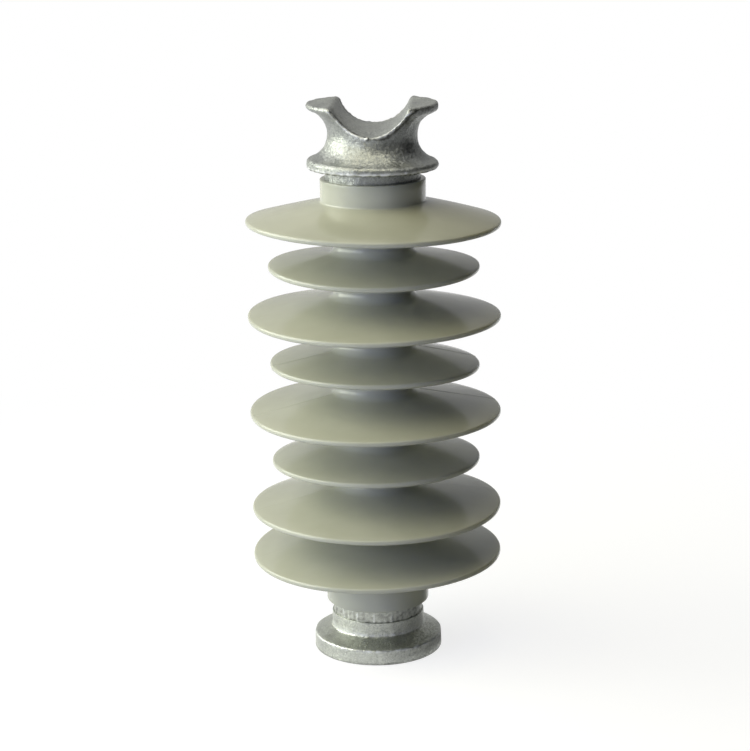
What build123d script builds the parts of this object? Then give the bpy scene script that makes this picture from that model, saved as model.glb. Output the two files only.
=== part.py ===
from build123d import *
import os
from math import radians, sqrt, tan

# Composite line post insulator.
# A glass-fibre core rod is crimped into a tie-top head and a flanged base, and a silicone
# rubber housing with large and small sheds is moulded over the three of them.
# Millimetres. +Z runs up the rod, the origin is at the centre of the base's underside,
# and the conductor's saddle runs along Y, so the two horns of the head are at -X and +X.

os.makedirs("parts", exist_ok=True)

# ---------------------------------------------------------------- driving dimensions

# core rod
ROD_RADIUS = 19.0
ROD_END_CHAMFER = 1.0
ROD_END_GAP = 0.5

# base fitting: flange, smooth foot and crimped barrel
FLANGE_RADIUS = 41.9
FLANGE_RIM_HEIGHT = 10.0
FLANGE_CONE_RISE = 4.5
FLANGE_EDGE_RADIUS = 1.2
FOOT_RADIUS = 30.2
FOOT_HEIGHT = 10.1
FOOT_FILLET = 1.8
FOOT_EDGE_RADIUS = 0.4
BASE_BARREL_RADIUS = 29.4
CRIMP_COUNT = 16
CRIMP_TURN = 9.3
CRIMP_IN_VIEW = 8.4

# tapped hole for the mounting stud, M20 at its tapping size
STUD_TAP_RADIUS = 8.75
STUD_HOLE_DEPTH = 20.0
STUD_HOLE_CHAMFER = 1.5
STUD_DRILL_POINT = 118.0
STUD_HOLE_WEB = 4.0

# housing: sheath, sheds and the collars that grip the two barrels
SHEATH_RADIUS = 25.0
LARGE_SHED_RADIUS = 81.0
SMALL_SHED_RADIUS = 67.4
SHED_PITCH = 31.4
SMALL_SHEDS = 3
SHED_RIM_THICKNESS = 4.0
SHED_TOP_SLOPE = 12.0
SHED_UNDER_SLOPE = 3.0
SHED_TOP_ROOT_RADIUS = 6.0
SHED_UNDER_ROOT_RADIUS = 4.0
LOWER_COLLAR_WALL = 4.1
UPPER_COLLAR_WALL = 3.2
COLLAR_ROOT_RADIUS = 1.2
COLLAR_EDGE_RADIUS = 0.7
LOWER_COLLAR_TO_RIM = 33.0
UPPER_RIM_TO_LIP = 26.2

# sealing rings, square in section, under the collars near the ends of the barrels
SEAL_WIDTH = 4.0
SEAL_DEPTH = 2.5
SEAL_PROUD = 0.5
SEAL_INSET = 6.0

# head fitting: barrel, two flanges with the tie-wire groove between them, saddle on top
HEAD_BARREL_RADIUS = 30.3
HEAD_BARREL_IN_VIEW = 7.5
BARREL_END_FROM_RIM = 4.2
BARREL_END_CHAMFER = 1.0
HEAD_FLANGE_RADIUS = 41.75
LOWER_RIM_THICKNESS = 4.3
UPPER_RIM_THICKNESS = 4.7
LOWER_EDGE_RADIUS = 1.9
HORN_EDGE_RADIUS = 2.2
ROUND_LIMIT = 0.47
TIE_NECK_RADIUS = 28.5
TIE_GROOVE_RADIUS = 16.0
SADDLE_RADIUS = 24.5
SADDLE_DEPTH = 16.3
SADDLE_WEB = 11.0

# how near a corner must be to the radius that it is looked up by
MATCH = 0.001

# ---------------------------------------------------------------- heights, from the base up

foot_bottom = FLANGE_RIM_HEIGHT + FLANGE_CONE_RISE
foot_top = foot_bottom + FOOT_HEIGHT
lower_collar_end = foot_top + CRIMP_IN_VIEW
lowest_rim = lower_collar_end + LOWER_COLLAR_TO_RIM

# Large and small sheds take turns, with one large shed more at each end of the row.
shed_pairs = [LARGE_SHED_RADIUS, SMALL_SHED_RADIUS] * SMALL_SHEDS
shed_radii = [LARGE_SHED_RADIUS] + shed_pairs + [LARGE_SHED_RADIUS]
shed_rims = [lowest_rim + SHED_PITCH * i for i in range(len(shed_radii))]
highest_rim = shed_rims[-1]

upper_collar_lip = highest_rim + UPPER_RIM_TO_LIP
head_underside = upper_collar_lip + HEAD_BARREL_IN_VIEW
groove_centre_radius = TIE_NECK_RADIUS + TIE_GROOVE_RADIUS
groove_half_height = sqrt(TIE_GROOVE_RADIUS**2 - (groove_centre_radius - HEAD_FLANGE_RADIUS) ** 2)
neck_height = head_underside + LOWER_RIM_THICKNESS + groove_half_height
head_top = neck_height + groove_half_height + UPPER_RIM_THICKNESS
saddle_floor = head_top - SADDLE_DEPTH

base_barrel_end = lowest_rim + BARREL_END_FROM_RIM
head_barrel_end = highest_rim + BARREL_END_FROM_RIM

# Each collar is a wall of rubber round the barrel that it grips.
lower_collar_radius = BASE_BARREL_RADIUS + LOWER_COLLAR_WALL
upper_collar_radius = HEAD_BARREL_RADIUS + UPPER_COLLAR_WALL

# Sockets that the rod's two ends sit in.
drill_point_depth = STUD_TAP_RADIUS / tan(radians(STUD_DRILL_POINT / 2))
base_socket_floor = STUD_HOLE_DEPTH + drill_point_depth + STUD_HOLE_WEB
head_socket_floor = saddle_floor - SADDLE_WEB

# Grooves for the sealing rings.
base_seal_height = base_barrel_end - SEAL_INSET
head_seal_height = head_barrel_end + SEAL_INSET

# ---------------------------------------------------------------- core rod

rod_bottom = base_socket_floor + ROD_END_GAP
rod_top = head_socket_floor - ROD_END_GAP

with BuildPart() as core_rod:
    with BuildSketch(Plane.XY.offset(rod_bottom)):
        Circle(ROD_RADIUS)
    extrude(amount=rod_top - rod_bottom)
    chamfer(core_rod.edges().filter_by(GeomType.CIRCLE), ROD_END_CHAMFER)

# ---------------------------------------------------------------- sealing rings


def seal_section(barrel_radius, height):
    """Section of a groove and its ring: it starts in the barrel and stands a little proud."""
    with Locations((barrel_radius - SEAL_DEPTH, height)):
        Rectangle(SEAL_DEPTH + SEAL_PROUD, SEAL_WIDTH, align=(Align.MIN, Align.CENTER))


with BuildPart() as lower_seal:
    with BuildSketch(Plane.XZ):
        seal_section(BASE_BARREL_RADIUS, base_seal_height)
    revolve(axis=Axis.Z)

with BuildPart() as upper_seal:
    with BuildSketch(Plane.XZ):
        seal_section(HEAD_BARREL_RADIUS, head_seal_height)
    revolve(axis=Axis.Z)

# ---------------------------------------------------------------- base fitting


def corners_at(sketch, radius):
    """Corners of a half section at one radius, from the lowest to the highest."""
    low, high = radius - MATCH, radius + MATCH
    return sketch.vertices().filter_by_position(Axis.X, low, high).sort_by(Axis.Y)


crimp_top = base_seal_height - SEAL_WIDTH

with BuildPart() as base_fitting:
    # flange with a conical top, and the smooth foot of the barrel
    with BuildSketch(Plane.XZ) as flange_section:
        with BuildLine():
            Polyline(
                (0, 0),
                (FLANGE_RADIUS, 0),
                (FLANGE_RADIUS, FLANGE_RIM_HEIGHT),
                (FOOT_RADIUS, foot_bottom),
                (FOOT_RADIUS, foot_top),
                (0, foot_top),
                close=True,
            )
        make_face()
        fillet(corners_at(flange_section, FLANGE_RADIUS), FLANGE_EDGE_RADIUS)
        fillet(corners_at(flange_section, FOOT_RADIUS)[0], FOOT_FILLET)
        fillet(corners_at(flange_section, FOOT_RADIUS)[-1], FOOT_EDGE_RADIUS)
    revolve(axis=Axis.Z)
    # the crimping dies leave a band of flats round the barrel
    with BuildSketch(Plane.XY.offset(foot_top)):
        RegularPolygon(BASE_BARREL_RADIUS, CRIMP_COUNT, rotation=CRIMP_TURN)
    extrude(amount=crimp_top - foot_top)
    # the barrel's end stays round, and carries the sealing ring
    with BuildSketch(Plane.XY.offset(crimp_top)):
        Circle(BASE_BARREL_RADIUS)
    extrude(amount=base_barrel_end - crimp_top)
    # socket for the rod
    with BuildSketch(Plane.XY.offset(base_socket_floor)):
        Circle(ROD_RADIUS)
    extrude(amount=base_barrel_end - base_socket_floor, mode=Mode.SUBTRACT)
    chamfer(base_fitting.edges().group_by(Axis.Z)[-1], BARREL_END_CHAMFER)
    # blind tapped hole for the mounting stud, with its drill point and a chamfered mouth
    with BuildSketch(Plane.XZ):
        with BuildLine():
            Polyline(
                (0, 0),
                (STUD_TAP_RADIUS + STUD_HOLE_CHAMFER, 0),
                (STUD_TAP_RADIUS, STUD_HOLE_CHAMFER),
                (STUD_TAP_RADIUS, STUD_HOLE_DEPTH),
                (0, STUD_HOLE_DEPTH + drill_point_depth),
                close=True,
            )
        make_face()
    revolve(axis=Axis.Z, mode=Mode.SUBTRACT)
    # groove for the sealing ring
    add(lower_seal.part, mode=Mode.SUBTRACT)

# ---------------------------------------------------------------- head fitting

with BuildPart() as head_fitting:
    # barrel and spool: the tie-wire groove is one arc between the rims of the two flanges
    with BuildSketch(Plane.XZ):
        with BuildLine():
            lower_rim = (HEAD_FLANGE_RADIUS, neck_height - groove_half_height)
            upper_rim = (HEAD_FLANGE_RADIUS, neck_height + groove_half_height)
            Polyline(
                lower_rim,
                (HEAD_FLANGE_RADIUS, head_underside),
                (HEAD_BARREL_RADIUS, head_underside),
                (HEAD_BARREL_RADIUS, head_barrel_end),
                (0, head_barrel_end),
                (0, head_top),
                (HEAD_FLANGE_RADIUS, head_top),
                upper_rim,
            )
            ThreePointArc(upper_rim, (TIE_NECK_RADIUS, neck_height), lower_rim)
        make_face()
    revolve(axis=Axis.Z)
    # saddle for the conductor, open at both ends
    with BuildSketch(Plane.XZ):
        with Locations((0, saddle_floor + SADDLE_RADIUS)):
            Circle(SADDLE_RADIUS)
    extrude(amount=HEAD_FLANGE_RADIUS, both=True, mode=Mode.SUBTRACT)
    # every edge of the horns and of the saddle is rounded, so no edge cuts into the conductor
    horn_edges = head_fitting.edges().filter_by(lambda edge: edge.center().Z > neck_height)
    fillet(horn_edges, min(HORN_EDGE_RADIUS, UPPER_RIM_THICKNESS * ROUND_LIMIT))
    # so is the rim of the lower flange
    lower_rim_edges = (
        head_fitting.edges()
        .filter_by(GeomType.CIRCLE)
        .filter_by(lambda edge: edge.center().Z < neck_height and edge.radius > HEAD_BARREL_RADIUS)
    )
    fillet(lower_rim_edges, min(LOWER_EDGE_RADIUS, LOWER_RIM_THICKNESS * ROUND_LIMIT))
    # socket for the rod
    with BuildSketch(Plane.XY.offset(head_barrel_end)):
        Circle(ROD_RADIUS)
    extrude(amount=head_socket_floor - head_barrel_end, mode=Mode.SUBTRACT)
    chamfer(head_fitting.edges().group_by(Axis.Z)[0], BARREL_END_CHAMFER)
    # groove for the sealing ring
    add(upper_seal.part, mode=Mode.SUBTRACT)

# ---------------------------------------------------------------- housing

# The half section starts inside the barrels' walls, and the pieces that the rubber is
# moulded over are then taken away from it, so it fits them exactly.
under_barrel_radius = (ROD_RADIUS + SHEATH_RADIUS) / 2


def shed_corners(radius, rim_height):
    """Half section of one shed: a blade that is thick at the root and thin at the rim."""
    reach = radius - under_barrel_radius
    half_rim = SHED_RIM_THICKNESS / 2
    return [
        (under_barrel_radius, rim_height - half_rim + reach * tan(radians(SHED_UNDER_SLOPE))),
        (radius, rim_height - half_rim),
        (radius, rim_height + half_rim),
        (under_barrel_radius, rim_height + half_rim + reach * tan(radians(SHED_TOP_SLOPE))),
    ]


def collar_corners(radius, low, high):
    """Half section of a collar, between its free end and the end of the barrel under it."""
    return [
        (under_barrel_radius, low),
        (radius, low),
        (radius, high),
        (under_barrel_radius, high),
    ]


with BuildPart() as housing:
    with BuildSketch(Plane.XZ) as half_section:
        with Locations((ROD_RADIUS, base_barrel_end)):
            Rectangle(
                SHEATH_RADIUS - ROD_RADIUS,
                head_barrel_end - base_barrel_end,
                align=(Align.MIN, Align.MIN),
            )
        blades = [shed_corners(radius, rim) for radius, rim in zip(shed_radii, shed_rims)]
        lower_collar = collar_corners(lower_collar_radius, lower_collar_end, base_barrel_end)
        upper_collar = collar_corners(upper_collar_radius, head_barrel_end, upper_collar_lip)
        for corners in blades + [lower_collar, upper_collar]:
            with BuildLine():
                Polyline(*corners, close=True)
            make_face()
        # the mould leaves every rim, root and collar edge rounded
        for radius in (LARGE_SHED_RADIUS, SMALL_SHED_RADIUS):
            fillet(corners_at(half_section, radius), SHED_RIM_THICKNESS * ROUND_LIMIT)
        fillet(corners_at(half_section, SHEATH_RADIUS)[0::2], SHED_TOP_ROOT_RADIUS)
        fillet(corners_at(half_section, SHEATH_RADIUS)[1::2], SHED_UNDER_ROOT_RADIUS)
        fillet(corners_at(half_section, lower_collar_radius)[1], COLLAR_ROOT_RADIUS)
        fillet(corners_at(half_section, upper_collar_radius)[-2], COLLAR_ROOT_RADIUS)
        fillet(corners_at(half_section, lower_collar_radius)[0], COLLAR_EDGE_RADIUS)
        fillet(corners_at(half_section, upper_collar_radius)[-1], COLLAR_EDGE_RADIUS)
    revolve(axis=Axis.Z)
    for held_piece in (core_rod, base_fitting, head_fitting, lower_seal, upper_seal):
        add(held_piece.part, mode=Mode.SUBTRACT)

# ---------------------------------------------------------------- labels and files

core_rod.part.label = "core_rod"
base_fitting.part.label = "base_fitting"
head_fitting.part.label = "head_fitting"
housing.part.label = "housing"
lower_seal.part.label = "lower_seal"
upper_seal.part.label = "upper_seal"

for piece in (core_rod, base_fitting, head_fitting, housing, lower_seal, upper_seal):
    export_step(piece.part, f"parts/{piece.part.label}.step")

print(f"overall height {head_top:.1f} mm, rod {rod_top - rod_bottom:.1f} mm long")
print(f"neck at {neck_height:.1f}, saddle floor at {saddle_floor:.1f}, sheds at {shed_rims}")
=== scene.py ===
# %% [markdown]
# # A composite line post insulator
# The real thing is a glass-fibre rod in a grey-green silicone rubber housing, with a cast
# tie-top head at one end and a flanged base at the other, both dipped in molten zinc.
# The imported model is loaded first. It is the frame: it says where every piece starts and
# ends, and in which box the finished object has to stay.

# %% Load the frame
from math import cos, pi, radians, sin

import bpy
import numpy as np
from mathutils import Matrix, Vector


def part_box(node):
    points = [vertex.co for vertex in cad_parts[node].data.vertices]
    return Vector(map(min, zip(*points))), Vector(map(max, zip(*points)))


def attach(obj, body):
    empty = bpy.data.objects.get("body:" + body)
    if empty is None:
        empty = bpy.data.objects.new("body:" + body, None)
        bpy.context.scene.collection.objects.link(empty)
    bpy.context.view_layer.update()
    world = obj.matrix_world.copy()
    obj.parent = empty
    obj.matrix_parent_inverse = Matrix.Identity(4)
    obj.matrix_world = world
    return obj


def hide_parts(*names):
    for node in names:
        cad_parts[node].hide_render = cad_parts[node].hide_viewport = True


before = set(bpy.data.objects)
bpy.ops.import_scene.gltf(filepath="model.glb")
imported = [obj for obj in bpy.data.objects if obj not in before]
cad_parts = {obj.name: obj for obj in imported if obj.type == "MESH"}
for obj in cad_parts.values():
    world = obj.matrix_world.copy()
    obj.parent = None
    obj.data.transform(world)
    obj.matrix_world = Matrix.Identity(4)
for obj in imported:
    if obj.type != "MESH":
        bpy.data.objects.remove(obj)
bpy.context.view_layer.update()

MM = 0.001
print("CAD nodes:", sorted(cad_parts))

# %% [markdown]
# ## The camera
# The camera looks at the insulator's axis from a little above. Its place is worked out from
# the distance, the angle above the horizon and the angle round the axis, and it is rolled by
# under a degree, as a hand-set tripod is. The lens is long, so the sheds look nearly alike.

# %% Camera
IMAGE_SIDE = 751
FOCAL_LENGTH = 2107.2
SENSOR = 36.0
DISTANCE = 1.3596
AIM_HEIGHT = 0.18333
AIM_SHIFT = -0.00011
ELEVATION = radians(14.446)
AZIMUTH = radians(3.5)
ROLL = radians(-0.726)

beside = Vector((cos(AZIMUTH), sin(AZIMUTH), 0))
back = Vector((sin(AZIMUTH) * cos(ELEVATION), -cos(AZIMUTH) * cos(ELEVATION), sin(ELEVATION)))
above = back.cross(beside)
image_right = cos(ROLL) * beside + sin(ROLL) * above
image_up = cos(ROLL) * above - sin(ROLL) * beside

camera = bpy.data.objects.new("camera", bpy.data.cameras.new("camera"))
bpy.context.scene.collection.objects.link(camera)
camera.data.sensor_width = SENSOR
camera.data.lens = FOCAL_LENGTH * SENSOR / IMAGE_SIDE
camera.data.clip_start = 0.01
camera.data.clip_end = 60
place = Vector((0, 0, AIM_HEIGHT)) + AIM_SHIFT * beside + DISTANCE * back
axes = Matrix((image_right, image_up, back)).transposed().to_4x4()
camera.matrix_world = Matrix.Translation(place) @ axes
bpy.context.scene.camera = camera
print(f"camera at {tuple(round(v, 3) for v in place)} m with a {camera.data.lens:.0f} mm lens")

# %% [markdown]
# ## Nodes in a few words
# Every finish below is a node tree. One helper adds a node, sets its options and fills its
# inputs: a socket is linked, and anything else is set as the input's own value.

# %% Helper for node trees
def add_node(tree, kind, inputs=None, **options):
    """Adds one node of a kind, with its options, and its inputs by name or number."""
    made = tree.nodes.new(kind)
    for option, value in options.items():
        setattr(made, option, value)
    for name, value in (inputs or {}).items():
        socket = made.inputs[name]
        if isinstance(value, bpy.types.NodeSocket):
            tree.links.new(value, socket)
        else:
            socket.default_value = value
    return made


def math_node(tree, operation, *values):
    """The result of one Math node."""
    made = add_node(tree, "ShaderNodeMath", dict(enumerate(values)), operation=operation)
    return made.outputs[0]


def vector_node(tree, operation, inputs, output="Vector"):
    """The result of one Vector Math node."""
    return add_node(tree, "ShaderNodeVectorMath", inputs, operation=operation).outputs[output]


def remap(tree, value, low, high, to_low, to_high, kind="LINEAR"):
    """The result of one Map Range node, which clamps at both ends."""
    inputs = {"Value": value, "From Min": low, "From Max": high, "To Min": to_low, "To Max": to_high}
    return add_node(tree, "ShaderNodeMapRange", inputs, interpolation_type=kind).outputs[0]


def blend_colours(tree, factor, first, second, kind="MIX"):
    """The result of one Mix node on colours."""
    made = add_node(tree, "ShaderNodeMix", data_type="RGBA", blend_type=kind)
    sockets = (made.inputs[0], made.inputs[6], made.inputs[7])
    for socket, value in zip(sockets, (factor, first, second)):
        if isinstance(value, bpy.types.NodeSocket):
            tree.links.new(value, socket)
        else:
            socket.default_value = value
    return made.outputs[2]


def seen_directly(tree):
    """1 for rays from the camera, from a gloss or through glass, and 0 for rays that light things."""
    ray = add_node(tree, "ShaderNodeLightPath").outputs
    shiny = math_node(tree, "MAXIMUM", ray["Is Glossy Ray"], ray["Is Transmission Ray"])
    return math_node(tree, "MAXIMUM", ray["Is Camera Ray"], shiny)


# %% [markdown]
# ## Studio
# The object stands on a pale floor in front of nothing but white. Seen directly, the floor is
# part plain diffuse paint, which takes the object's shadow, and part its own light, which
# lifts it to white. Further out it is all light, so floor and background meet without a line.
# What lights the object is the floor's paint, the world and the lamps. The floor lies a fifth
# of a millimetre below the base, because two faces in one plane flicker where they meet.

# %% Floor
FLOOR_RADIUS = 30.0
FLOOR_DROP = 0.0002
SHADOW_FADE = (0.15, 0.75)
PAINT_SHARE = 0.30
FLOOR_LEVEL = 0.68
PAINT_COLOUR = (0.50, 0.50, 0.49, 1)
WHITE = (1, 1, 1, 1)


def floor_material():
    """Paint that keeps the shadow near the object, and turns to plain white further out."""
    made = bpy.data.materials.new("pale_floor")
    made.use_nodes = True
    tree = made.node_tree
    tree.nodes.clear()
    place = add_node(tree, "ShaderNodeTexCoord").outputs["Object"]
    distance = vector_node(tree, "LENGTH", {0: place}, "Value")
    share = remap(tree, distance, *SHADOW_FADE, PAINT_SHARE, 0.0, "SMOOTHERSTEP")
    grey = add_node(tree, "ShaderNodeCombineColor", {0: share, 1: share, 2: share}).outputs[0]
    own_light = math_node(tree, "MULTIPLY_ADD", share, -FLOOR_LEVEL, 1.0)
    paint = add_node(tree, "ShaderNodeBsdfDiffuse", {"Color": grey}).outputs[0]
    light = add_node(tree, "ShaderNodeEmission", {"Color": WHITE, "Strength": own_light}).outputs[0]
    seen = add_node(tree, "ShaderNodeAddShader", {0: paint, 1: light}).outputs[0]
    lighting = add_node(tree, "ShaderNodeBsdfDiffuse", {"Color": PAINT_COLOUR}).outputs[0]
    inputs = {0: seen_directly(tree), 1: lighting, 2: seen}
    top = add_node(tree, "ShaderNodeMixShader", inputs).outputs[0]
    below = add_node(tree, "ShaderNodeBsdfTransparent").outputs[0]
    under = add_node(tree, "ShaderNodeNewGeometry").outputs["Backfacing"]
    both = add_node(tree, "ShaderNodeMixShader", {0: under, 1: top, 2: below}).outputs[0]
    add_node(tree, "ShaderNodeOutputMaterial", {"Surface": both})
    return made


around = ((-1, -1), (1, -1), (1, 1), (-1, 1))
corners = [(x * FLOOR_RADIUS, y * FLOOR_RADIUS, -FLOOR_DROP) for x, y in around]
floor_mesh = bpy.data.meshes.new("floor")
floor_mesh.from_pydata(corners, [], [(0, 1, 2, 3)])
floor_mesh.materials.append(floor_material())
floor = bpy.data.objects.new("floor", floor_mesh)
bpy.context.scene.collection.objects.link(floor)
print("floor:", 2 * FLOOR_RADIUS, "m wide")

# %% World light
# Soft light from all round, stronger from the upper left than from the right and from below.
LIGHT_SIDE = Vector((-0.85, -0.10, 0.50)).normalized()
DIM_SIDE = 0.010
BRIGHT_SIDE = 0.018
SKY_TINT = (0.8, 0.95, 1.4, 1)


def world_light():
    """White where it is seen, and a soft left-to-right change of light where it isn't."""
    made = bpy.data.worlds.new("studio")
    made.use_nodes = True
    tree = made.node_tree
    tree.nodes.clear()
    way = add_node(tree, "ShaderNodeTexCoord").outputs["Generated"]
    facing = vector_node(tree, "DOT_PRODUCT", {0: way, 1: LIGHT_SIDE}, "Value")
    strength = remap(tree, facing, -1, 1, DIM_SIDE, BRIGHT_SIDE, "SMOOTHSTEP")
    dim = add_node(tree, "ShaderNodeBackground", {"Color": SKY_TINT, "Strength": strength}).outputs[0]
    white = add_node(tree, "ShaderNodeBackground", {"Color": WHITE, "Strength": 1.0}).outputs[0]
    inputs = {0: seen_directly(tree), 1: dim, 2: white}
    both = add_node(tree, "ShaderNodeMixShader", inputs).outputs[0]
    add_node(tree, "ShaderNodeOutputWorld", {"Surface": both})
    return made


bpy.context.scene.world = world_light()
print("world light from", DIM_SIDE, "to", BRIGHT_SIDE)

# %% Lamps
# Each lamp is a soft box: a name, the side it stands on (degrees round from the camera, plus
# to the right), its height angle, its distance, its width and height, the level at which it
# lights a surface that faces it (1 shows a colour as it is written), and its colour.
LAMPS = (
    ("side_window", -91, 18, 1.6, 2.0, 1.0, 1.12, (1.0, 1.03, 0.89)),
    ("high_side", -104, 46, 1.6, 1.2, 0.9, 0.22, (1.0, 1.0, 0.92)),
    ("front_strip", -46, 12, 1.6, 0.9, 0.5, 0.17, (0.98, 1.0, 1.05)),
    ("high_wide", -50, 48, 1.6, 2.2, 0.8, 0.31, (1.03, 0.98, 0.70)),
    ("top_soft", -10, 78, 1.6, 0.9, 0.9, 0.23, (1.02, 0.95, 0.62)),
    ("front_glow", 22, 8, 1.6, 0.9, 0.9, 0.030, (1.0, 1.02, 0.98)),
    ("back_fill", 154, 1, 1.6, 1.4, 0.3, 0.38, (0.90, 0.97, 1.1)),
    ("sky_fill", -40, 8, 1.6, 1.4, 0.6, 0.10, (0.62, 0.92, 2.9)),
)
# front_glow is a soft sheen on the metal alone. back_fill and sky_fill reach the hollows
# between the sheds, and no metal may mirror them.
ONLY_REFLECTED = ("front_glow",)
NOT_REFLECTED = ("back_fill", "sky_fill")
MIDDLE = Vector((0, 0, 0.19))


def way_to(side, height):
    """Direction from the object, by the angle round from the camera and the height angle."""
    turn, rise = AZIMUTH + radians(side), radians(height)
    return Vector((sin(turn) * cos(rise), -cos(turn) * cos(rise), sin(rise)))


def soft_box(name, side, height, distance, width, tall, level, colour):
    """An area lamp that faces the middle of the object. Its power is level x pi^2 x distance^2."""
    lamp = bpy.data.lights.new(name, "AREA")
    lamp.shape = "RECTANGLE"
    lamp.size = width
    lamp.size_y = tall
    lamp.energy = level * pi**2 * distance**2
    lamp.color = colour
    made = bpy.data.objects.new(name, lamp)
    bpy.context.scene.collection.objects.link(made)
    way = way_to(side, height)
    made.location = MIDDLE + distance * way
    made.rotation_euler = way.to_track_quat("Z", "Y").to_euler()
    made.visible_camera = False
    return made


lamps = [soft_box(*row) for row in LAMPS]
for lamp in lamps:
    lamp.visible_diffuse = lamp.name not in ONLY_REFLECTED
    lamp.visible_glossy = lamp.name not in NOT_REFLECTED
print("lamps:", [lamp.name for lamp in lamps])

# %% [markdown]
# ## Screens
# Bright metal only looks like metal when it has something dark to mirror, and rubber only
# looks smooth when something stands behind it. So a studio hangs cloth where the camera
# doesn't see it: black in front and on both sides, a grey screen behind the object, lighter on
# the side of the lamps, and two grey aprons on the floor. Here only reflections see these, and
# they light nothing and throw no shadow.

# %% Screens round the object
SCREEN_RADIUS = 2.3
SCREEN_FOOT = 0.001
SCREEN_HEIGHT = 2.6
SCREEN_STEPS = 40
BLACK = (-1, 1, 0, 0)
BLACK_FROM, BLACK_TO = -120, 130
TALL_FROM = -60
LOW_HEIGHT = 1.0
GREY_TO = 240
GREY_LEVELS = (-0.6, 0.6, 0.72, 0.30)
APRON_FROM = 5
APRON_HEIGHT = 0.0005
APRON_RADIUS = 0.044
APRON_EDGE = 0.6
NEAR_LEVELS = (0.1, 1.0, 0.85, 0.22)
FAR_LEVELS = (0.2, 0.8, 1.0, 0.40)


def screen_mesh(name, first, last, rims):
    """Rows of points round the object, one for each (radius, height), between two angles."""
    turn = AZIMUTH + np.radians(np.linspace(first, last, SCREEN_STEPS))
    way = np.stack([np.sin(turn), -np.cos(turn)], axis=1)
    rows = [np.column_stack([way * radius, np.full(SCREEN_STEPS, height)]) for radius, height in rims]
    step = np.arange(SCREEN_STEPS - 1)
    faces = np.stack([step, step + 1, step + 1 + SCREEN_STEPS, step + SCREEN_STEPS], axis=1)
    mesh = bpy.data.meshes.new(name)
    mesh.from_pydata(np.concatenate(rows).tolist(), [], faces.tolist())
    return mesh


def hang_screen(name, mesh, levels):
    """Hangs cloth that only reflections see.

    Its light goes by x over the distance from the middle: levels gives two values of that
    ratio, and the light at each of them. It is no lamp, so no light rays are aimed at it.
    """
    cloth = bpy.data.materials.new(name)
    cloth.cycles.emission_sampling = "NONE"
    cloth.use_nodes = True
    tree = cloth.node_tree
    tree.nodes.clear()
    place = add_node(tree, "ShaderNodeTexCoord").outputs["Object"]
    distance = vector_node(tree, "LENGTH", {0: place}, "Value")
    across = add_node(tree, "ShaderNodeSeparateXYZ", {0: place}).outputs["X"]
    level = remap(tree, math_node(tree, "DIVIDE", across, distance), *levels)
    light = add_node(tree, "ShaderNodeEmission", {"Color": WHITE, "Strength": level}).outputs[0]
    add_node(tree, "ShaderNodeOutputMaterial", {"Surface": light})
    mesh.materials.append(cloth)
    made = bpy.data.objects.new(name, mesh)
    bpy.context.scene.collection.objects.link(made)
    made.visible_camera = False
    made.visible_shadow = False
    made.visible_diffuse = False


wall = ((SCREEN_RADIUS, SCREEN_FOOT), (SCREEN_RADIUS, SCREEN_HEIGHT))
low_wall = ((SCREEN_RADIUS, SCREEN_FOOT), (SCREEN_RADIUS, LOW_HEIGHT))
near_floor = ((APRON_RADIUS, APRON_HEIGHT), (APRON_EDGE, APRON_HEIGHT))
far_floor = ((APRON_EDGE, APRON_HEIGHT), (SCREEN_RADIUS, APRON_HEIGHT))
for name, first, last, rims, levels in (
    ("black_cloth", TALL_FROM, BLACK_TO, wall, BLACK),
    ("low_cloth", BLACK_FROM, TALL_FROM, low_wall, BLACK),
    ("grey_screen", BLACK_TO, GREY_TO, wall, GREY_LEVELS),
    ("near_apron", APRON_FROM, BLACK_TO, near_floor, NEAR_LEVELS),
    ("far_apron", APRON_FROM, BLACK_TO, far_floor, FAR_LEVELS),
):
    hang_screen(name, screen_mesh(name, first, last, rims), levels)
print("black cloth and grey screen at", SCREEN_RADIUS, "m, aprons from", APRON_FROM, "degrees")

# %% [markdown]
# ## Zinc
# Steel that has been dipped in molten zinc is covered with spangle: crystals about a
# millimetre across, each of which shines towards its own side. So the group below gives every cell
# of a Voronoi pattern its own small tilt of the normal and its own tone, with a fine grain
# and slow clouds of dull oxide over them. It is one group, used by head and base alike.
# Edges get painted light: a painted highlight along rims, ridges and the saddle's lip, and
# painted shade beside them and along the lowest edges; the base's pressed band is darker in
# patches. Each piece carries that as an attribute, which runs from -1 for painted shade and
# darker zinc to 1 for a painted highlight.

# %% Node group for zinc
def new_group(name, inputs, outputs):
    """An empty node group: returns it with its input and output nodes."""
    group = bpy.data.node_groups.new(name, "ShaderNodeTree")
    for title, kind, value in inputs:
        socket = group.interface.new_socket(title, in_out="INPUT", socket_type=kind)
        if value is not None:
            socket.default_value = value
    for title, kind in outputs:
        group.interface.new_socket(title, in_out="OUTPUT", socket_type=kind)
    return group, group.nodes.new("NodeGroupInput"), group.nodes.new("NodeGroupOutput")


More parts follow.
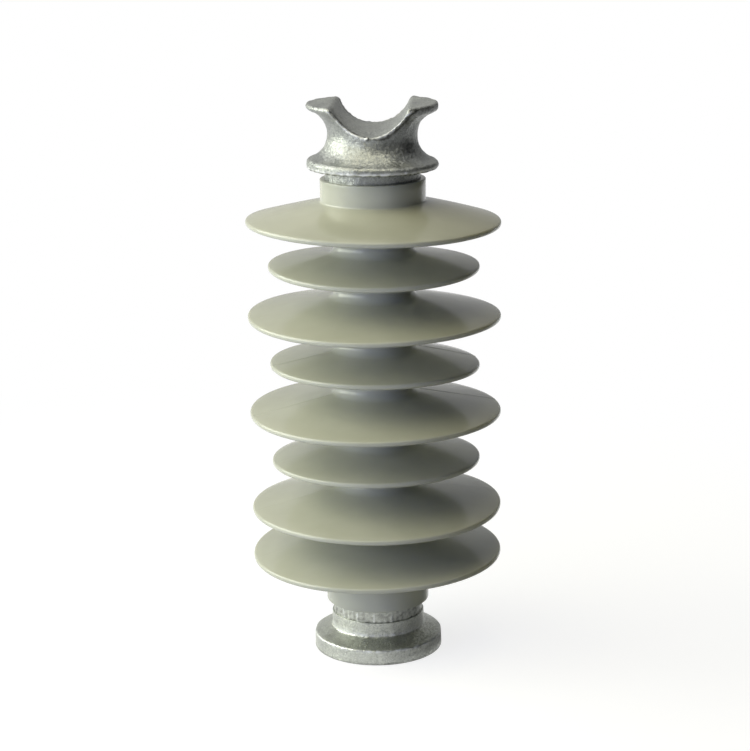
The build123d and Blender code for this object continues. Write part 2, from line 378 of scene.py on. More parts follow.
def zinc_spangle_group():
    """Tone, clouds, height and normal of spangled zinc. Sizes are in metres."""
    group, given, result = new_group(
        "zinc_spangle",
        (
            ("Spangle Size", "NodeSocketFloat", 0.0016),
            ("Grain Size", "NodeSocketFloat", 0.0005),
            ("Tilt", "NodeSocketFloat", 0.35),
            ("Cloud Size", "NodeSocketFloat", 0.012),
        ),
        (
            ("Tone", "NodeSocketFloat"),
            ("Cloud", "NodeSocketFloat"),
            ("Height", "NodeSocketFloat"),
            ("Normal", "NodeSocketVector"),
        ),
    )
    place = add_node(group, "ShaderNodeTexCoord").outputs["Object"]
    cell_scale = math_node(group, "DIVIDE", 1.0, given.outputs["Spangle Size"])
    grain_scale = math_node(group, "DIVIDE", 1.0, given.outputs["Grain Size"])
    cloud_scale = math_node(group, "DIVIDE", 1.0, given.outputs["Cloud Size"])
    cells = add_node(group, "ShaderNodeTexVoronoi", {"Vector": place, "Scale": cell_scale})
    grains = add_node(group, "ShaderNodeTexVoronoi", {"Vector": place, "Scale": grain_scale})
    inputs = {"Vector": place, "Scale": cloud_scale, "Detail": 4.0, "Roughness": 0.6}
    cloud = add_node(group, "ShaderNodeTexNoise", inputs).outputs["Fac"]
    cell_tone = add_node(group, "ShaderNodeSeparateColor", {0: cells.outputs["Color"]}).outputs[0]
    grain_tone = add_node(group, "ShaderNodeSeparateColor", {0: grains.outputs["Color"]}).outputs[0]
    # each cell's random colour, moved to the range from -1 to 1, is the way that it leans
    inputs = {0: cells.outputs["Color"], 1: (2, 2, 2), 2: (-1, -1, -1)}
    centred = vector_node(group, "MULTIPLY_ADD", inputs)
    lean = vector_node(group, "SCALE", {0: centred, "Scale": given.outputs["Tilt"]})
    normal = add_node(group, "ShaderNodeNewGeometry").outputs["Normal"]
    leaning = vector_node(group, "ADD", {0: normal, 1: lean})
    unit = vector_node(group, "NORMALIZE", {0: leaning})
    cell_part = math_node(group, "MULTIPLY", cell_tone, 0.6)
    mixed = math_node(group, "MULTIPLY_ADD", grain_tone, 0.4, cell_part)
    height = math_node(group, "MULTIPLY_ADD", grains.outputs["Distance"], -0.5, cloud)
    for name, socket in (("Tone", mixed), ("Cloud", cloud), ("Height", height), ("Normal", unit)):
        group.links.new(socket, result.inputs[name])
    return group


zinc_spangle = zinc_spangle_group()
print("group:", zinc_spangle.name, "with", len(zinc_spangle.nodes), "nodes")

# %% Galvanised finishes
# Most of what a noise texture gives lies between these two values.
NOISE_SPAN = (0.3, 0.7)
# The next two colours are a painted highlight and painted shade, laid over the zinc along edges; the
# dark one also darkens the base's pressed band in patches.
PAINTED_ZINC_HIGHLIGHT = (0.85, 0.86, 0.84, 1)
PAINTED_ZINC_SHADE_AND_DARK = (0.045, 0.042, 0.035, 1)
CAST_TONES = ((0.17, 0.18, 0.175, 1), (0.47, 0.485, 0.465, 1))
STEEL_TONES = ((0.35, 0.365, 0.33, 1), (0.64, 0.66, 0.60, 1))


def galvanised(name, dark, light, tilt, roughness, spangle):
    """Zinc between a dark and a light tone, with its spangle leaning by a given tilt."""
    made = bpy.data.materials.new(name)
    made.use_nodes = True
    tree = made.node_tree
    shader = tree.nodes["Principled BSDF"]
    skin = add_node(tree, "ShaderNodeGroup", node_tree=zinc_spangle)
    skin.inputs["Spangle Size"].default_value = spangle
    skin.inputs["Tilt"].default_value = tilt
    spread = math_node(tree, "MULTIPLY_ADD", skin.outputs["Cloud"], 0.8, -0.3)
    tone = math_node(tree, "MULTIPLY_ADD", skin.outputs["Tone"], 0.8, spread)
    colour = blend_colours(tree, tone, dark, light)
    # The attribute read here paints highlights along rims, ridges and the lip, and shade beside and
    # under them.
    edge = add_node(tree, "ShaderNodeAttribute", attribute_name="zinc_painted_light_and_tone").outputs["Fac"]
    highlight_share = remap(tree, edge, 0.0, 1.0, 0.0, 0.9)
    shade_and_dark_share = remap(tree, edge, 0.0, -1.0, 0.0, 0.8)
    colour = blend_colours(tree, highlight_share, colour, PAINTED_ZINC_HIGHLIGHT)
    colour = blend_colours(tree, shade_and_dark_share, colour, PAINTED_ZINC_SHADE_AND_DARK)
    tree.links.new(colour, shader.inputs["Base Color"])
    rough = remap(tree, skin.outputs["Cloud"], *NOISE_SPAN, roughness - 0.08, roughness + 0.1)
    tree.links.new(rough, shader.inputs["Roughness"])
    bump = add_node(tree, "ShaderNodeBump", {"Strength": 0.5, "Distance": 0.0003})
    tree.links.new(skin.outputs["Height"], bump.inputs["Height"])
    tree.links.new(skin.outputs["Normal"], bump.inputs["Normal"])
    tree.links.new(bump.outputs[0], shader.inputs["Normal"])
    # Where a highlight is painted, the zinc is less metallic as well, so the painted highlight reads
    # from any side.
    tree.links.new(remap(tree, edge, 0.0, 1.0, 0.85, 0.3), shader.inputs["Metallic"])
    return made


cast_zinc = galvanised("galvanised_casting", *CAST_TONES, tilt=0.15, roughness=0.42, spangle=0.0008)
steel_zinc = galvanised("galvanised_steel", *STEEL_TONES, tilt=0.17, roughness=0.37, spangle=0.0009)
print("finishes:", cast_zinc.name, steel_zinc.name)

# %% [markdown]
# ## Silicone rubber
# The housing is moulded from grey-green silicone. It is smooth with a soft gloss: there is a
# faint orange-peel from the mould, and the tone and the gloss change slowly along it.

# %% Node group for moulded rubber
def moulded_skin_group():
    """Tone and height of a moulded rubber surface. Sizes are in metres."""
    group, given, result = new_group(
        "moulded_skin",
        (("Peel Size", "NodeSocketFloat", 0.0012), ("Cloud Size", "NodeSocketFloat", 0.03)),
        (("Tone", "NodeSocketFloat"), ("Height", "NodeSocketFloat")),
    )
    place = add_node(group, "ShaderNodeTexCoord").outputs["Object"]
    peel_scale = math_node(group, "DIVIDE", 1.0, given.outputs["Peel Size"])
    cloud_scale = math_node(group, "DIVIDE", 1.0, given.outputs["Cloud Size"])
    peel = add_node(group, "ShaderNodeTexNoise", {"Vector": place, "Scale": peel_scale, "Detail": 2.0})
    cloud = add_node(group, "ShaderNodeTexNoise", {"Vector": place, "Scale": cloud_scale, "Detail": 3.0})
    group.links.new(cloud.outputs["Fac"], result.inputs["Tone"])
    group.links.new(peel.outputs["Fac"], result.inputs["Height"])
    return group


moulded_skin = moulded_skin_group()
print("group:", moulded_skin.name, "with", len(moulded_skin.nodes), "nodes")

# %% Rubber finishes
GLOSS_CHANGE = 0.02
GREY_GREEN = ((0.43, 0.435, 0.34, 1), (0.47, 0.475, 0.38, 1))
SOOT_BLACK = ((0.018, 0.018, 0.018, 1), (0.03, 0.03, 0.03, 1))


def rubber(name, dark, light, roughness):
    """Rubber between two tones, with the mould's faint orange-peel."""
    made = bpy.data.materials.new(name)
    made.use_nodes = True
    tree = made.node_tree
    shader = tree.nodes["Principled BSDF"]
    skin = add_node(tree, "ShaderNodeGroup", node_tree=moulded_skin)
    tone = remap(tree, skin.outputs["Tone"], *NOISE_SPAN, 0.0, 1.0)
    colour = blend_colours(tree, tone, dark, light)
    tree.links.new(colour, shader.inputs["Base Color"])
    glossy, matt = roughness - GLOSS_CHANGE, roughness + GLOSS_CHANGE
    rough = remap(tree, skin.outputs["Tone"], *NOISE_SPAN, glossy, matt)
    tree.links.new(rough, shader.inputs["Roughness"])
    bump = add_node(tree, "ShaderNodeBump", {"Strength": 0.15, "Distance": 0.0001})
    tree.links.new(skin.outputs["Height"], bump.inputs["Height"])
    tree.links.new(bump.outputs[0], shader.inputs["Normal"])
    return made


silicone = rubber("silicone_rubber", *GREY_GREEN, 0.165)
seal_rubber = rubber("seal_rubber", *SOOT_BLACK, 0.6)
print("finishes:", silicone.name, seal_rubber.name)

# %% [markdown]
# ## Outlines and grids
# Housing and base are round things, so each is an outline carried round the axis. The outline
# is a list of corners with the radius of each, and the grid's points are worked out at once.

# %% Helpers for round pieces
def bell(distance, width):
    """1 on a line, and less beside it: e to the power of minus the squared distance in widths."""
    return np.exp(-((distance / width) ** 2))


def rounded_outline(corners, radii, spacing, arc_steps=6, closed=True):
    """Outline through corners, in mm, with an arc at each. An open one keeps its two end points.

    An arc touches both sides at a distance of the radius over the tangent of half the corner's
    angle, and its centre lies on the bisector, at the radius over the sine of that half angle.
    Between two arcs the straight line is cut into steps no longer than the spacing.
    """
    corner = np.array(corners, float)
    radius = np.array(radii, float)[:, None]
    to_last = np.roll(corner, 1, axis=0) - corner
    to_next = np.roll(corner, -1, axis=0) - corner
    to_last /= np.linalg.norm(to_last, axis=1, keepdims=True)
    to_next /= np.linalg.norm(to_next, axis=1, keepdims=True)
    half = np.arccos(np.clip((to_last * to_next).sum(axis=1, keepdims=True), -1, 1)) / 2
    bisector = to_last + to_next
    bisector /= np.linalg.norm(bisector, axis=1, keepdims=True)
    centre = corner + bisector * radius / np.sin(half)
    first = corner + to_last * radius / np.tan(half) - centre
    last = corner + to_next * radius / np.tan(half) - centre
    swing = pi - 2 * half
    share = np.linspace(0, 1, arc_steps)[None, :, None]
    start_part = np.sin((1 - share) * swing[:, None]) * first[:, None]
    end_part = np.sin(share * swing[:, None]) * last[:, None]
    arcs = centre[:, None] + (start_part + end_part) / np.sin(swing)[:, None]
    arcs = list(arcs) if closed else [corner[:1], *arcs[1:-1], corner[-1:]]
    pieces = []
    for arc, after in zip(arcs, arcs[1:] + arcs[:1]):
        gap = np.linalg.norm(after[0] - arc[-1])
        cuts = np.linspace(0, 1, max(2, int(np.ceil(gap / spacing)) + 1))[1:-1, None]
        pieces += [arc, arc[-1] + cuts * (after[0] - arc[-1])]
    return np.concatenate(pieces if closed else pieces[:-1])


def grid_faces(rows, columns, closed_rows=True):
    """Quads of a grid whose columns close on themselves, and whose rows may."""
    row = np.arange(rows if closed_rows else rows - 1)[:, None]
    column = np.arange(columns)[None, :]
    after, beside_it = (row + 1) % rows, (column + 1) % columns
    start, end = row * columns, after * columns
    quads = (start + column, start + beside_it, end + beside_it, end + column)
    return np.stack([np.broadcast_to(q, (row.size, columns)) for q in quads], axis=-1).reshape(-1, 4)


def make_piece(name, points, faces, material, node):
    """Puts points in mm and faces into a smooth mesh that stands for a CAD node."""
    mesh = bpy.data.meshes.new(name)
    mesh.from_pydata((points * MM).tolist(), [], [list(face) for face in faces])
    mesh.shade_smooth()
    mesh.materials.append(material)
    piece = bpy.data.objects.new(name, mesh)
    bpy.context.scene.collection.objects.link(piece)
    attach(piece, "root")
    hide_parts(node)
    print(f"{name}: {len(mesh.vertices)} vertices, {sum(len(f) - 2 for f in faces)} triangles")
    return piece


def paint_zinc_light_and_tone(piece, amount):
    """Keeps a painted highlight (1) and painted shade with darker zinc (-1) at each point, for its
    finish.
    """
    mark = piece.data.attributes.new("zinc_painted_light_and_tone", "FLOAT", "POINT")
    mark.data.foreach_set("value", np.clip(amount, -1, 1).astype(np.float32))


# %% [markdown]
# ## Housing
# One moulding: a sheath on the rod, eight sheds that take turns in size, and a collar round
# the barrel of each fitting. Soft sheds never sit quite level, so each has a small lean.

# %% Housing sizes in mm
def corners_of(node):
    """A CAD node's lowest and highest corners in mm, to a hundredth."""
    return [[round(v / MM, 2) for v in corner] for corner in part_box(node)]


housing_low, housing_high = corners_of("housing")
base_high = corners_of("base_fitting")[1]
head_low, head_high = corners_of("head_fitting")
rod_low, rod_high = corners_of("core_rod")
LOWER_COLLAR_END, UPPER_COLLAR_LIP = housing_low[2], housing_high[2]
BASE_BARREL_END, HEAD_BARREL_END = base_high[2], head_low[2]
LARGE_SHED = housing_high[0]
ROD = rod_high[0]
SMALL_SHED = 67.4
SHEATH = 25.0
PITCH = 31.4
LOWEST_RIM = LOWER_COLLAR_END + 33.0
RIM_HALF = 1.65
TOP_SLOPE = np.tan(radians(12))
UNDER_SLOPE = np.tan(radians(3))
BASE_BARREL = 29.4
HEAD_BARREL = 30.3
COLLAR = 33.5
COLLAR_ROUND = 0.7
COLLAR_ROOT = 1.2
SHED_ROUND = 1.5
TOP_ROOT = 6.0
UNDER_ROOT = 4.0
SHEDS = [LARGE_SHED] + 3 * [LARGE_SHED, SMALL_SHED] + [LARGE_SHED]
SHARP = 0.15
# Soft sheds never sit level. From the lowest up, in mm: how far each rim as a whole, its right
# side and its back stand high, how far its two sides curl up and its front and back droop, and
# the same for its diagonals. SEAM is how much of the mould's seam shows on each.
RISE = np.array([-0.4, -0.5, -0.5, 0.3, 0.0, 0.1, 0.5, -2.1])
LEAN_RIGHT = np.array([0.6, 0.7, 0.7, -0.2, -1.1, -0.6, -0.7, -1.1])
LEAN_BACK = np.array([1.0, 0.1, -1.1, 0.4, -1.0, 0.2, 0.8, -0.5])
CURL = np.array([-0.2, 0.2, 0.0, 0.0, -0.1, 0.4, 0.6, 0.5])
TWIST = np.array([-0.4, 0.5, 0.2, -0.5, -0.4, -0.7, -0.1, 0.3])
SEAM = np.array([0.3, 0.5, 0.3, 1.0, 1.0, 0.5, 0.4, 0.1])


def housing_outline():
    """Corners of the half section and their radii, up the outside and down the inside."""
    rows = [((COLLAR, LOWER_COLLAR_END), COLLAR_ROUND)]
    for number, rim_radius in enumerate(SHEDS):
        rim = LOWEST_RIM + PITCH * number
        below = COLLAR if number == 0 else SHEATH
        over = COLLAR if number == len(SHEDS) - 1 else SHEATH
        low = rim - RIM_HALF + (rim_radius - below) * UNDER_SLOPE
        high = rim + RIM_HALF + (rim_radius - over) * TOP_SLOPE
        rows += [
            ((below, low), COLLAR_ROOT if below == COLLAR else UNDER_ROOT),
            ((rim_radius, rim - RIM_HALF), SHED_ROUND),
            ((rim_radius, rim + RIM_HALF), SHED_ROUND),
            ((over, high), COLLAR_ROOT if over == COLLAR else TOP_ROOT),
        ]
    rows += [
        ((COLLAR, UPPER_COLLAR_LIP), COLLAR_ROUND),
        ((HEAD_BARREL, UPPER_COLLAR_LIP), SHARP),
        ((HEAD_BARREL, HEAD_BARREL_END), SHARP),
        ((ROD, HEAD_BARREL_END), SHARP),
        ((ROD, BASE_BARREL_END), SHARP),
        ((BASE_BARREL, BASE_BARREL_END), SHARP),
        ((BASE_BARREL, LOWER_COLLAR_END), SHARP),
    ]
    return zip(*rows)


outline = rounded_outline(*housing_outline(), spacing=5.0)
print("housing outline:", len(outline), "points")

# %% Housing surface
PARTING = radians(196.5)
FLASH_HEIGHT = 0.22
FLASH_HALF_WIDTH = 0.30
FLASH_STEPS = np.array([-1.4, -0.5, -0.25, 0, 0.25, 0.5, 1.4])
COLUMNS_PER_SIDE = 76
UNDER_RIM = 8


def angles_round(radius):
    """Angle of each column at each radius: even steps, and close ones beside the mould's two seams.

    The close columns lie at fixed distances in mm from the seam, so their angle is that
    distance over the radius.
    """
    close = FLASH_STEPS[None, :] / radius[:, None]
    even = np.linspace(0, 1, COLUMNS_PER_SIDE)[None, 1:-1]
    edge = close[:, -1:]
    side = np.concatenate([close, edge + even * (pi - 2 * edge)], axis=1)
    return PARTING + np.concatenate([side, side + pi], axis=1)


def housing_points(outline):
    """The outline carried round the axis, with a lean for each shed and the mould's seam.

    A point's lean grows with the square of how far out it is between sheath and rim. It is
    the sum of the rise, the right lean times the cosine of its angle, the back lean times the
    sine, the curl times the cosine of twice the angle and the twist times the sine of that.
    The seam is a ridge across the surface: its height falls off as a bell curve from its line.
    """
    radius, height = outline[:, 0], outline[:, 1]
    angle = angles_round(radius)
    tangent = np.roll(outline, -1, axis=0) - np.roll(outline, 1, axis=0)
    tangent /= np.linalg.norm(tangent, axis=1, keepdims=True)
    outward = np.stack([tangent[:, 1], -tangent[:, 0]], axis=1)
    number = np.floor((height - LOWEST_RIM + UNDER_RIM) / PITCH).astype(int)
    number = np.clip(number, 0, len(SHEDS) - 1)
    reach = np.clip((radius - SHEATH) / (np.array(SHEDS)[number] - SHEATH), 0, 1) ** 2
    parts = ((RISE, 1), (LEAN_RIGHT, np.cos(angle)), (LEAN_BACK, np.sin(angle)))
    parts += ((CURL, np.cos(2 * angle)), (TWIST, np.sin(2 * angle)))
    lean = sum((amount[number] * reach)[:, None] * wave for amount, wave in parts)
    from_seam = np.abs((angle - PARTING + pi / 2) % pi - pi / 2) * radius[:, None]
    patchy = SEAM[number] * (0.65 + 0.35 * np.sin(0.11 * radius + 0.43 * height))
    patchy = np.where((radius > SHEATH - 1) & (radius < LARGE_SHED - 0.5), patchy, 0)
    ridge = FLASH_HEIGHT * patchy[:, None] * bell(from_seam, FLASH_HALF_WIDTH)
    far = radius[:, None] + ridge * outward[:, :1]
    high = height[:, None] + ridge * outward[:, 1:] + lean
    return np.stack([far * np.cos(angle), far * np.sin(angle), high], axis=-1)


points = housing_points(outline)
housing_faces = grid_faces(*points.shape[:2])
make_piece(
    "moulded_housing", points.reshape(-1, 3), housing_faces, silicone, "housing"
)

# %% [markdown]
# ## Base
# The base is turned steel: a flange with a conical top, a smooth foot, and a barrel that was
# pressed onto the rod by sixteen dies, which leave a flat each and a fine ridge in between.
# The hole in its underside has a real thread, cut as one groove that climbs a pitch a turn.

# %% Base sizes in mm
FLANGE = base_high[0]
FLANGE_RIM = 10.0
CONE_TOP = 14.5
FOOT = 30.2
FOOT_TOP = 24.6
CRIMP_TOP = 60.2
CRIMP_FLATS = 16
CRIMP_TURN = radians(9.3)
CRIMP_FILL = 0.65
RIDGE_HEIGHT = 0.22
RIDGE_HALF_WIDTH = 0.5
STUD_HOLE = 8.75
STUD_HOLE_DEPTH = 20.0
STUD_CHAMFER = 1.5
THREAD_PITCH = 2.5
THREAD_DEPTH = 1.15
ROD_GAP = 0.5
SOCKET_FLOOR = rod_low[2] - ROD_GAP
DRILL_POINT = SOCKET_FLOOR - 4
THREAD_FROM, THREAD_TO = 2.0, STUD_HOLE_DEPTH - 1
ON_WALL = 0.01
BASE_COLUMNS = 192
ZINC_THINNER = 0.12
# Each layer of lumps in a zinc skin is its height and its size in mm, and a seed of its own.
BASE_LUMPS = ((0.10, 9.0, 3), (0.05, 3.5, 4))


def base_outline():
    """Corners and radii from the drill point, round the outside, to the socket floor's middle."""
    rows = [
        ((0, DRILL_POINT), SHARP),
        ((STUD_HOLE, STUD_HOLE_DEPTH), SHARP),
        ((STUD_HOLE, STUD_CHAMFER), SHARP),
        ((STUD_HOLE + STUD_CHAMFER, 0), SHARP),
        ((FLANGE, 0), 0.7),
        ((FLANGE, FLANGE_RIM), 1.2),
        ((FOOT, CONE_TOP), 1.8),
        ((FOOT, FOOT_TOP), 0.35),
        ((BASE_BARREL, FOOT_TOP), SHARP),
        ((BASE_BARREL, BASE_BARREL_END), 0.8),
        ((ROD, BASE_BARREL_END), SHARP),
        ((ROD, SOCKET_FLOOR), SHARP),
        ((0, SOCKET_FLOOR), SHARP),
    ]
    return zip(*rows)


def thread_rows(outline):
    """Puts close rows where the thread is, eight to a pitch, in place of the plain wall's."""
    wall = np.arange(THREAD_TO, THREAD_FROM, -THREAD_PITCH / 8)
    radius, height = outline[:, 0], outline[:, 1]
    plain = (radius <= STUD_HOLE + ON_WALL) & (height >= THREAD_FROM) & (height <= THREAD_TO)
    kept = outline[~plain]
    start = int(np.argmax(kept[:, 1] < THREAD_FROM))
    rows = np.stack([np.full(wall.size, STUD_HOLE), wall], axis=1)
    return np.concatenate([kept[:start], rows, kept[start:]])


def slow_lumps(points, size, seed, waves=10):
    """Smooth unevenness between about -1 and 1: the mean of sines along random directions."""
    random = np.random.default_rng(seed)
    way = random.normal(size=(3, waves))
    way *= 2 * pi / size / np.linalg.norm(way, axis=0)
    phase = random.uniform(0, 2 * pi, waves)
    return np.sin(points @ way + phase).sum(axis=-1) / np.sqrt(waves)


def lumpy_skin(points, layers):
    """How high the layers of lumps stand together at each point, in mm."""
    return sum(height * slow_lumps(points, size, seed) for height, size, seed in layers)


def base_points(outline):
    """The outline carried round the axis, with the thread and the crimped flats.

    A flat's radius is the barrel's radius times the cosine of half a flat's angle, over the
    cosine of the angle from the flat's middle, and the zinc fills two thirds of it. The
    thread cuts outwards by a triangle wave of the height over the pitch less the turn. The
    zinc's lumps push points in and out, from a surface that is a little thinner everywhere,
    so that no lump stands out of the CAD model's box.
    """
    radius, height = outline[:, :1], outline[:, 1:]
    angle = np.linspace(0, 2 * pi, BASE_COLUMNS, endpoint=False)[None, :]
    half = pi / CRIMP_FLATS
    from_middle = (angle - CRIMP_TURN - half) % (2 * half) - half
    flat = BASE_BARREL * (CRIMP_FILL + (1 - CRIMP_FILL) * np.cos(half) / np.cos(from_middle))
    from_ridge = (half - np.abs(from_middle)) * BASE_BARREL
    flat = flat + RIDGE_HEIGHT * bell(from_ridge, RIDGE_HALF_WIDTH)
    crimped = (radius > BASE_BARREL - 0.3) & (radius < BASE_BARREL + 0.1) & (height < CRIMP_TOP)
    crimped = crimped & (height > FOOT_TOP - 0.2)
    threaded = (radius < STUD_HOLE + ON_WALL) & (height > THREAD_FROM) & (height < THREAD_TO)
    turn = (height / THREAD_PITCH - angle / (2 * pi)) % 1
    groove = THREAD_DEPTH * (1 - 2 * np.abs(turn - 0.5))
    far = np.where(crimped, flat, radius + np.where(threaded, groove, 0))
    points = np.stack([far * np.cos(angle), far * np.sin(angle), height + 0 * angle], axis=-1)
    outside = (radius > 15) & (height > 0.5)
    lumps = lumpy_skin(points, BASE_LUMPS)
    lumps = np.where(outside & (height < LOWER_COLLAR_END), lumps, 0) - ZINC_THINNER * outside
    points[..., 0] += lumps * np.cos(angle)
    points[..., 1] += lumps * np.sin(angle)
    return points


def pole_caps(rows, columns):
    """Triangles from the first and last row to the two poles, which follow the grid's points."""
    ring = np.arange(columns)
    after, last = np.roll(ring, -1), (rows - 1) * columns
    first_pole = np.full(columns, rows * columns)
    return np.concatenate(
        [
            np.stack([first_pole, after, ring], axis=1),
            np.stack([first_pole + 1, last + ring, last + after], axis=1),
        ]
    )


outline = thread_rows(rounded_outline(*base_outline(), spacing=1.6, arc_steps=5, closed=False))
points = base_points(outline[1:-1])
rows, columns = points.shape[:2]
poles = np.array([[0, 0, DRILL_POINT], [0, 0, SOCKET_FLOOR]])
base_faces = grid_faces(rows, columns, closed_rows=False).tolist() + pole_caps(rows, columns).tolist()
points = np.concatenate([points.reshape(-1, 3), poles])
base = make_piece("crimped_base", points, base_faces, steel_zinc, "base_fitting")


RIM_LINE, FOOT_LINE = 9.6, 16.2


def base_painted_light_and_tone(points):
    """Painted highlight on ridges and rims, darker patches on the band, painted shade at the bottom."""
    radius, height = np.hypot(points[:, 0], points[:, 1]), points[:, 2]
    angle = np.arctan2(points[:, 1], points[:, 0])
    half = pi / CRIMP_FLATS
    from_ridge = (half - np.abs((angle - CRIMP_TURN - half) % (2 * half) - half)) * BASE_BARREL
    lumps = slow_lumps(points, 4.0, 11)
    band = (height > FOOT_TOP) & (height < LOWER_COLLAR_END + 1) & (radius > BASE_BARREL - 1.5)
    # ridge paints a highlight along each crimp ridge.
    ridge = bell(from_ridge, RIDGE_HALF_WIDTH) * np.clip(0.5 + 0.9 * lumps, 0, 1.2)
    # pressed darkens the pressed band in patches.
    pressed = -np.clip(0.22 + 0.4 * slow_lumps(points, 3.0, 14), 0, 0.8)
    # rim and foot paint highlight lines along the flange's top edge and the foot's base.
    rim = bell(height - RIM_LINE, 0.6) * (radius > FLANGE - 1.2) * (0.45 + 0.4 * lumps)
    foot = bell(height - FOOT_LINE, 0.8) * (radius < FOOT + 1.5) * (0.6 + 0.3 * lumps)
    # lowest paints shade along the flange's bottom edge, where it meets the floor.
    lowest = -0.8 * bell(height, 0.9) * (radius > FLANGE - 2)
    return np.where(band, pressed + ridge, rim + foot + lowest)


paint_zinc_light_and_tone(base, base_painted_light_and_tone(points))

# %% [markdown]
# ## Head
# The head is a casting whose saddle cuts through a spool, and every edge of it is rounded.
# That is no outline and no grid, but it is easy to say how far a point lies from each of its
# surfaces. So the head is a formula for that distance, and a net of quads is drawn over the
# places where the distance is nothing.

# %% Distance to the head's surface
HEAD_FLANGE = head_high[0]
HEAD_TOP = round(head_high[2], 1)
HEAD_SOCKET = round(rod_high[2] + ROD_GAP, 1)
HEAD_UNDERSIDE = 319.5
NECK_HEIGHT = 339.56
NECK = 28.5
GROOVE = 16.0
SADDLE = 24.5
SADDLE_FLOOR = HEAD_TOP - 16.3
RIM_ROUND = 2.1
LIP_ROUND = 2.2
LIP_DIP = 2.9
DIP_FROM, DIP_LENGTH = 6, 22
BARREL_ROUND = 1.0
BARREL_OVERLAP = 3
FLANGE_LOW = HEAD_UNDERSIDE - 1
FLANGE_TILT = 0.008
GROOVE_TILT = 0.025
KNOT = (-1.4, -28.2, 340.4)
KNOT_RADIUS = 1.3
CAST_LUMPS = ((0.13, 11.0, 5), (0.05, 3.0, 6))
CAST_THINNER = 0.15
LIP_BEAD = 0.75
RIM_BEAD = 0.15
HORNS_FROM = HEAD_TOP - 3
HORNS_THINNER = 0.12


def inside_all(distances, radius):
    """Distance to what lies inside every surface, where edges are rounded by the radius.

    Away from an edge it is the largest distance. Near one it is the length of the vector of
    the distances, each with the radius added and never less than nothing, less the radius.
    """
    stack = np.stack(distances)
    near = np.maximum(stack + radius, 0)
    return np.minimum(stack.max(axis=0), -radius) + np.sqrt((near**2).sum(axis=0))


def cut_distances(points):
    """How far points lie inside the tie groove's round cut, and inside the saddle's.

    The groove is a ring round the neck, a little tilted. The saddle is a cylinder along Y,
    whose floor dips by the square of the way towards the front lip, where the zinc is worn.
    """
    x, y, z = points[..., 0], points[..., 1], points[..., 2]
    dip = LIP_DIP * np.clip((-y - DIP_FROM) / DIP_LENGTH, 0, 1) ** 2
    across = np.hypot(x, y) - NECK - GROOVE
    groove = GROOVE - np.hypot(across, z - NECK_HEIGHT + GROOVE_TILT * x)
    return groove, SADDLE - np.hypot(x, z + dip - SADDLE_FLOOR - SADDLE)


def head_distance(points):
    """How far points in mm lie outside the head, or inside it if the number is negative."""
    x, z = points[..., 0], points[..., 2]
    radius = np.hypot(x, points[..., 1])
    side = radius - HEAD_FLANGE
    groove, saddle = cut_distances(points)
    underside = FLANGE_LOW - FLANGE_TILT * x - z
    spool = inside_all([side, z - HEAD_TOP, underside, groove], RIM_ROUND)
    top = inside_all([spool, saddle], LIP_ROUND)
    ends = [HEAD_BARREL_END - z, z - HEAD_UNDERSIDE - BARREL_OVERLAP]
    barrel = inside_all([radius - HEAD_BARREL, *ends], BARREL_ROUND)
    socket = np.maximum(radius - ROD, z - HEAD_SOCKET)
    return np.maximum(np.minimum(top, barrel), -socket)


def cast_head_distance(points):
    """The same, with the uneven skin of a casting that was dipped in zinc.

    Slow lumps cover all of it. Along the saddle's lip and the flange's rim, where the zinc
    ran together, it is thicker by a bead: a bell curve across the edge, times quick lumps.
    """
    x, z = points[..., 0], points[..., 2]
    radius = np.hypot(x, points[..., 1])
    skin = lumpy_skin(points, CAST_LUMPS) + CAST_THINNER
    quick = slow_lumps(points, 3.2, 8)
    groove, saddle = cut_distances(points)
    lip = bell(groove - saddle, 1.0) * np.clip((HORNS_FROM - z) / 3, 0, 1)
    rim = bell(z - FLANGE_LOW - 0.9, 1.1) * np.clip(radius - HEAD_FLANGE + 3, 0, 1)
    skin = skin - lip * (LIP_BEAD + 0.22 * quick) - rim * (RIM_BEAD + 0.16 * quick)
    skin = skin + HORNS_THINNER * np.clip(z - HORNS_FROM, 0, 1)
    shown = np.clip((z - UPPER_COLLAR_LIP + 3) / 3, 0, 1)
    knot = np.sqrt(((points - np.array(KNOT)) ** 2).sum(axis=-1)) - KNOT_RADIUS
    return np.minimum(head_distance(points) + skin * shown, knot)


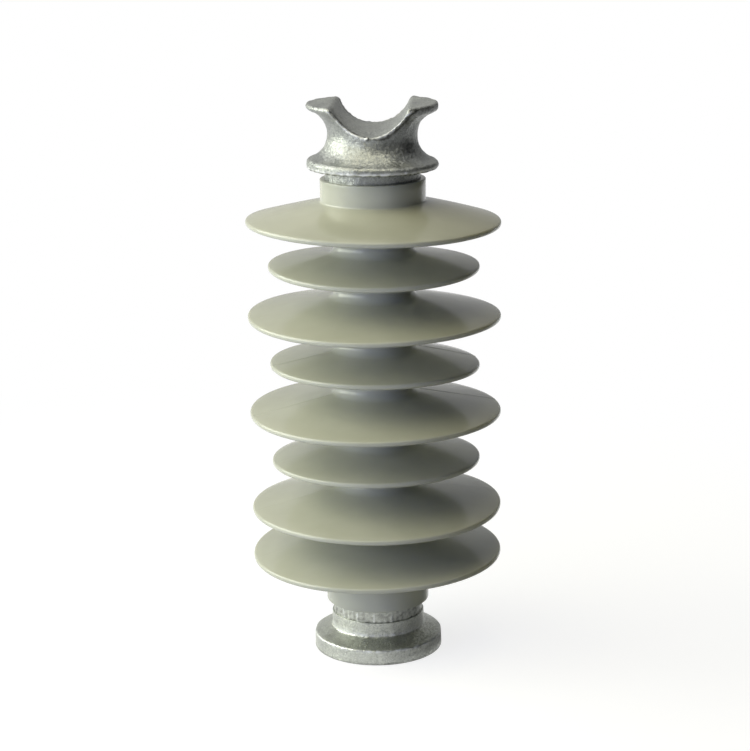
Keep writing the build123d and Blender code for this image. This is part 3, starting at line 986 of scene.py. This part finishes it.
# %% Net over a distance
def surface_net(distance, low, high, pitch):
    """Quads over the places where distance(points) is nothing.

    The distance is measured at the nodes of a cubic grid. A cell that the surface crosses gets
    one vertex, at the mean of the crossings on its twelve edges. A grid edge that it crosses
    gets one quad, between the four cells round that edge, turned to face outwards.
    """
    axes = [np.arange(a, b + pitch, pitch) for a, b in zip(low, high)]
    value = distance(np.stack(np.meshgrid(*axes, indexing="ij"), axis=-1))
    cells = tuple(n - 1 for n in value.shape)
    total, count = np.zeros(cells + (3,)), np.zeros(cells)
    offsets = np.array([[i, j, k] for i in (0, 1) for j in (0, 1) for k in (0, 1)])
    at = [value[tuple(slice(o, o + n) for o, n in zip(offset, cells))] for offset in offsets]
    for a in range(8):
        for b in range(a + 1, 8):
            if np.abs(offsets[a] - offsets[b]).sum() == 1:
                crossed = (at[a] < 0) != (at[b] < 0)
                share = np.divide(at[a], at[a] - at[b], out=np.zeros(cells), where=crossed)[..., None]
                total += crossed[..., None] * (offsets[a] + share * (offsets[b] - offsets[a]))
                count += crossed
    used = count > 0
    number = np.full(cells, -1)
    number[used] = np.arange(used.sum())
    points = (np.argwhere(used) + total[used] / count[used][:, None]) * pitch + np.array(low)
    faces = []
    for k in range(3):
        order = (k, (k + 1) % 3, (k + 2) % 3)
        filled, cell = (value < 0).transpose(order), number.transpose(order)
        before, after = filled[:-1, 1:-1, 1:-1], filled[1:, 1:-1, 1:-1]
        round_edge = (cell[:, :-1, :-1], cell[:, 1:, :-1], cell[:, 1:, 1:], cell[:, :-1, 1:])
        quads = np.stack(round_edge, axis=-1)
        faces += [quads[before & ~after], quads[~before & after][:, ::-1]]
    return points, np.concatenate(faces)


def settle(points, distance, rounds=4, step=0.02):
    """Slides points onto the surface: each round moves them by the distance, down its slope."""
    for _ in range(rounds):
        away = distance(points)
        slope = [distance(points + s) - distance(points - s) for s in np.eye(3) * step]
        slope = np.stack(slope, axis=-1) / (2 * step)
        steepness = np.maximum((slope**2).sum(axis=-1), 0.2)
        points = points - np.clip(away / steepness, -0.5, 0.5)[:, None] * slope
    return points


HEAD_PITCH = 0.65
reach = HEAD_FLANGE + 2 * HEAD_PITCH
low = (-reach, -reach, HEAD_BARREL_END - 2 * HEAD_PITCH)
high = (reach, reach, HEAD_TOP + 2 * HEAD_PITCH)
net, head_faces = surface_net(cast_head_distance, low, high, HEAD_PITCH)
net = settle(net, cast_head_distance)
head = make_piece("cast_head", net, head_faces.tolist(), cast_zinc, "head_fitting")


def head_painted_light(points):
    """Painted highlight along the saddle's lip and the flange's rim, with painted shade beside both.

    How far a point lies past the lip is its distance in the groove's cut less the one in the
    saddle's: more than nothing on the neck, and less in the saddle. The painted shade lies on
    the lip's side away from the light: in the saddle on the left, changing over to the neck on
    the right.
    """
    z = points[:, 2]
    radius = np.hypot(points[:, 0], points[:, 1])
    groove, saddle = cut_distances(points)
    past = groove - saddle
    lumps, quick = slow_lumps(points, 6.0, 12), slow_lumps(points, 2.5, 13)
    on_lip = (z > NECK_HEIGHT) & (z < HEAD_TOP - 2)
    # A painted highlight along the lip.
    lip = bell(past - 0.3 * quick, 1.1) * (0.95 + 0.4 * lumps)
    side = 2.4 * np.tanh(points[:, 0] / 5)
    # Painted shade beside the lip, on the side that faces away from the light on the left.
    lip = lip - bell(past - side - 0.3 * quick, 0.9) * (1.1 + 0.4 * lumps)
    on_rim = (radius > HEAD_FLANGE - 3) & (z < FLANGE_LOW + 4)
    # A painted highlight along the flange's rim.
    rim = bell(z - FLANGE_LOW - 1.5, 0.8) * (0.8 + 0.4 * lumps)
    # Painted shade, in patches, at the rim's lower corner.
    rim = rim - bell(z - FLANGE_LOW - 0.2, 0.7) * np.clip(0.5 + 0.9 * quick, 0, 1)
    return np.where(on_lip, lip, 0) + np.where(on_rim, rim, 0)


paint_zinc_light_and_tone(head, head_painted_light(net))

# %% [markdown]
# ## Rod and seals
# These lie inside. The rod shows its glass fibres as fine streaks along Z under clear resin,
# and the sealing rings are plain black rubber.

# %% Rod and seal finishes
RESIN = (0.30, 0.22, 0.10, 1)
FIBRE = (0.72, 0.66, 0.45, 1)


def glass_fibre():
    """Amber resin with pale streaks of fibre that run along the rod."""
    made = bpy.data.materials.new("glass_fibre_rod")
    made.use_nodes = True
    tree = made.node_tree
    shader = tree.nodes["Principled BSDF"]
    place = add_node(tree, "ShaderNodeTexCoord").outputs["Object"]
    inputs = {"Vector": place, "Scale": (900, 900, 12)}
    drawn_out = add_node(tree, "ShaderNodeMapping", inputs).outputs[0]
    inputs = {"Vector": drawn_out, "Scale": 1.0, "Detail": 3.0}
    fibre = add_node(tree, "ShaderNodeTexNoise", inputs).outputs["Fac"]
    colour = blend_colours(tree, fibre, RESIN, FIBRE)
    tree.links.new(colour, shader.inputs["Base Color"])
    tree.links.new(remap(tree, fibre, *NOISE_SPAN, 0.25, 0.4), shader.inputs["Roughness"])
    return made


finishes = {"core_rod": glass_fibre(), "lower_seal": seal_rubber, "upper_seal": seal_rubber}
finishes |= {"housing": silicone, "head_fitting": cast_zinc, "base_fitting": steel_zinc}
for node, material in finishes.items():
    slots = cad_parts[node].data.materials
    slots.clear()
    slots.append(material)
print("CAD nodes with a finish:", sorted(finishes))

# %% [markdown]
# ## Last look
# The picture is shown with the standard view transform.

# %% View transform
bpy.context.scene.view_settings.view_transform = "Standard"
